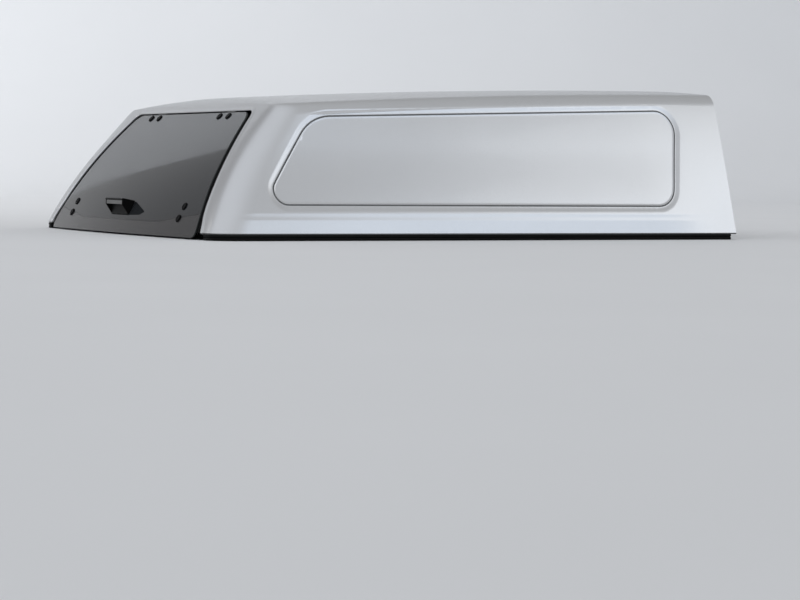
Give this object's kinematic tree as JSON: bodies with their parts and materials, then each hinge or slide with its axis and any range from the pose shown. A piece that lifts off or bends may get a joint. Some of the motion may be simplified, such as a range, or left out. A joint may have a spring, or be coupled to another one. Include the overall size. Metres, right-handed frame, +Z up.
{
  "type": "pickup canopy",
  "caption": "Hardtop canopy for a pickup bed, double-skin, with blank panelled sides, a sloping rear glass hatch on gas struts and a fixed front window.",
  "frame": {"origin": "middle of the underside of the front base seal, on the centre line where the canopy meets the front of the bed", "axes": "+X to the vehicle's right, +Y forward towards the cab, +Z up"},
  "size_m": [1.61, 1.8717, 0.5],
  "materials": {
    "silver_paint": "silver metallic clear-coated paint",
    "black_rubber": "matt black rubber",
    "grey_liner": "light grained grey liner",
    "black_plastic": "satin black moulding",
    "tinted_glass": "dark grey tinted toughened glass",
    "window_glass": "grey tinted toughened glass",
    "rail_aluminium": "grey coated extrusion",
    "handle_black": "semi-gloss black",
    "handle_grey": "semi-gloss dark grey",
    "strut_black": "gloss black painted tube",
    "strut_steel": "polished rod",
    "zinc_steel": "zinc plated"
  },
  "bodies": {
    "shell": {"roof_skin": "silver_paint", "right_side_skin": "silver_paint", "left_side_skin": "silver_paint", "rear_header_skin": "silver_paint", "right_pillar_skin": "silver_paint", "left_pillar_skin": "silver_paint", "roof_liner": "grey_liner", "right_side_liner": "grey_liner", "left_side_liner": "grey_liner", "header_beam": "black_plastic", "right_jamb": "black_plastic", "left_jamb": "black_plastic", "front_wall_skin": "silver_paint", "front_window_gasket": "black_rubber", "front_window_glass": "window_glass", "right_blank_panel": "silver_paint", "left_blank_panel": "silver_paint", "right_panel_seal": "black_rubber", "left_panel_seal": "black_rubber", "right_base_rail": "rail_aluminium", "left_base_rail": "rail_aluminium", "front_base_rail": "rail_aluminium", "right_base_seal": "black_rubber", "left_base_seal": "black_rubber", "front_base_seal": "black_rubber", "hatch_seal": "black_rubber", "right_strut_mount": "zinc_steel", "left_strut_mount": "zinc_steel", "hinge_bases": "zinc_steel", "latch_strikers": "zinc_steel"},
    "hatch": {"hatch_glass": "tinted_glass", "hatch_trim": "black_plastic", "hatch_bolt_caps": "handle_black", "hinge_leaves": "zinc_steel", "strut_studs": "zinc_steel", "latches": "black_plastic", "handle_base": "handle_black"},
    "handle": {"handle_lever": "handle_grey"},
    "right_strut": {"right_strut_cylinder": "strut_black"},
    "left_strut": {"left_strut_cylinder": "strut_black"},
    "right_rod": {"right_strut_rod": "strut_steel"},
    "left_rod": {"left_strut_rod": "strut_steel"}
  },
  "joints": [
    {"name": "hatch_hinge", "type": "hinge", "parent": "shell", "child": "hatch", "pos_m": [0, -1.55913, 0.39469], "axis": [-1, 0, 0], "range_deg": [0, 62]},
    {"name": "paddle_pivot", "type": "hinge", "parent": "hatch", "child": "handle", "pos_m": [0, -1.8433, 0.10805], "axis": [-1, 0, 0], "range_deg": [0, 35], "stiffness_Nm_per_rad": 0.5, "springref_deg": -11.46},
    {"name": "right_strut_pivot", "type": "hinge", "parent": "shell", "child": "right_strut", "pos_m": [0.459, -1.52913, 0.30469], "axis": [-1, 0, 0], "range_deg": [0, 60.89]},
    {"name": "right_rod_slide", "type": "slide", "parent": "right_strut", "child": "right_rod", "axis": [0, -0.7385, -0.6743], "range_m": [0, 0.0982]},
    {"name": "left_strut_pivot", "type": "hinge", "parent": "shell", "child": "left_strut", "pos_m": [-0.459, -1.52913, 0.30469], "axis": [-1, 0, 0], "range_deg": [0, 60.89]},
    {"name": "left_rod_slide", "type": "slide", "parent": "left_strut", "child": "left_rod", "axis": [0, -0.7385, -0.6743], "range_m": [0, 0.0982]}
  ],
  "couplings": [
    {"joint": "right_strut_pivot", "follows": "hatch_hinge", "ratio": 0.97396},
    {"joint": "right_rod_slide", "follows": "hatch_hinge", "m_per_rad": 0.089782},
    {"joint": "left_strut_pivot", "follows": "hatch_hinge", "ratio": 0.97396},
    {"joint": "left_rod_slide", "follows": "hatch_hinge", "m_per_rad": 0.089782}
  ]
}
